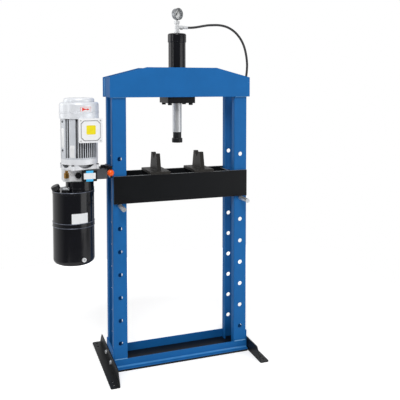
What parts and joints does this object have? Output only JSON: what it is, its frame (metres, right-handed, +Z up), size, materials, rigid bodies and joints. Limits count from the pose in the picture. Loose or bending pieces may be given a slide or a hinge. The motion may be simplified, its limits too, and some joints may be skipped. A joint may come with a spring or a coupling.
{
  "type": "hydraulic press",
  "caption": "Floor-standing hydraulic press: channel-section frame, overhead cylinder with gauge, pinned bed with V-blocks, and an electric power unit hung on one side.",
  "frame": {"origin": "on the floor under the ram's axis, on the base pan's underside", "axes": "+X to the operator's right, +Y to the back, +Z up"},
  "size_m": [1.141, 0.562, 1.9525],
  "materials": {
    "blue_paint": "satin",
    "black_paint": "satin",
    "steel": "brushed",
    "dark_steel": "plain",
    "chrome": "polished",
    "brass": "turned",
    "rubber": "matt",
    "dial_white": "matt",
    "black_plastic": "matt",
    "orange_plastic": "gloss",
    "clear_glass": "clear",
    "cast_alloy": "painted silver"
  },
  "bodies": {
    "frame": {"front_left_channel": "blue_paint", "back_left_channel": "blue_paint", "front_right_channel": "blue_paint", "back_right_channel": "blue_paint", "base_pan": "black_paint", "base_front_angle": "blue_paint", "base_back_angle": "blue_paint", "left_side_plate": "blue_paint", "right_side_plate": "blue_paint", "left_foot": "black_paint", "right_foot": "black_paint", "foot_bolts": "steel", "crosshead_front_plate": "blue_paint", "crosshead_back_plate": "blue_paint", "crosshead_left_end": "blue_paint", "crosshead_right_end": "blue_paint", "cylinder_seat_plate": "blue_paint", "cylinder_tube": "black_paint", "cylinder_cap": "black_paint", "gland_block": "black_paint", "gland_bolts": "dark_steel", "rod_bush": "brass", "rod_wiper": "rubber", "left_bed_pin": "steel", "right_bed_pin": "steel", "gauge_tee": "chrome", "gauge_case": "chrome", "gauge_dial": "dial_white", "gauge_glass": "clear_glass", "hose_fitting": "chrome", "pressure_hose": "rubber", "hose_elbow": "chrome", "unit_bracket": "black_paint", "unit_bolts": "steel", "oil_tank": "black_paint", "tank_lid": "black_paint", "drain_plug": "steel", "suction_pipe": "steel", "manifold": "cast_alloy", "check_valve": "brass", "valve_coil": "black_plastic", "valve_body": "dark_steel", "motor_flange": "cast_alloy", "motor_housing": "cast_alloy", "terminal_box": "cast_alloy", "fan_cover": "cast_alloy"},
    "ram": {"ram_rod": "chrome", "ram_piston": "steel", "piston_seal": "rubber", "ram_nose": "dark_steel"},
    "bed": {"bed_front_beam": "black_paint", "bed_back_beam": "black_paint", "bed_spacers": "black_paint", "left_v_block": "dark_steel", "right_v_block": "dark_steel"},
    "lever": {"valve_lever": "black_paint", "lever_knob": "orange_plastic"},
    "needle": {"gauge_needle": "black_plastic"},
    "rotor": {"motor_rotor": "steel"},
    "cap": {"filler_cap": "black_plastic"}
  },
  "joints": [
    {"name": "ram_slide", "type": "slide", "parent": "frame", "child": "ram", "axis": [0, 0, -1], "range_m": [-0.155, 0.08]},
    {"name": "bed_slide", "type": "slide", "parent": "frame", "child": "bed", "axis": [0, 0, 1], "range_m": [0, 0.249]},
    {"name": "lever_pivot", "type": "hinge", "parent": "frame", "child": "lever", "pos_m": [-0.431, -0.075, 1.094], "axis": [0, 0, 1], "range_deg": [-20, 20], "stiffness_Nm_per_rad": 1.5},
    {"name": "needle_turn", "type": "hinge", "parent": "frame", "child": "needle", "pos_m": [0, 0, 1.9195], "axis": [-0.4695, 0.8829, 0], "range_deg": [-170, 100], "stiffness_Nm_per_rad": 0.01},
    {"name": "rotor_spin", "type": "hinge", "parent": "frame", "child": "rotor", "pos_m": [-0.552, -0.06, 1.2], "axis": [0, 0, 1], "continuous": true},
    {"name": "cap_turn", "type": "hinge", "parent": "frame", "child": "cap", "pos_m": [-0.66904, -0.08252, 0.985], "axis": [-0.4082, -0.1094, 0.9063], "range_deg": [0, 90]}
  ]
}
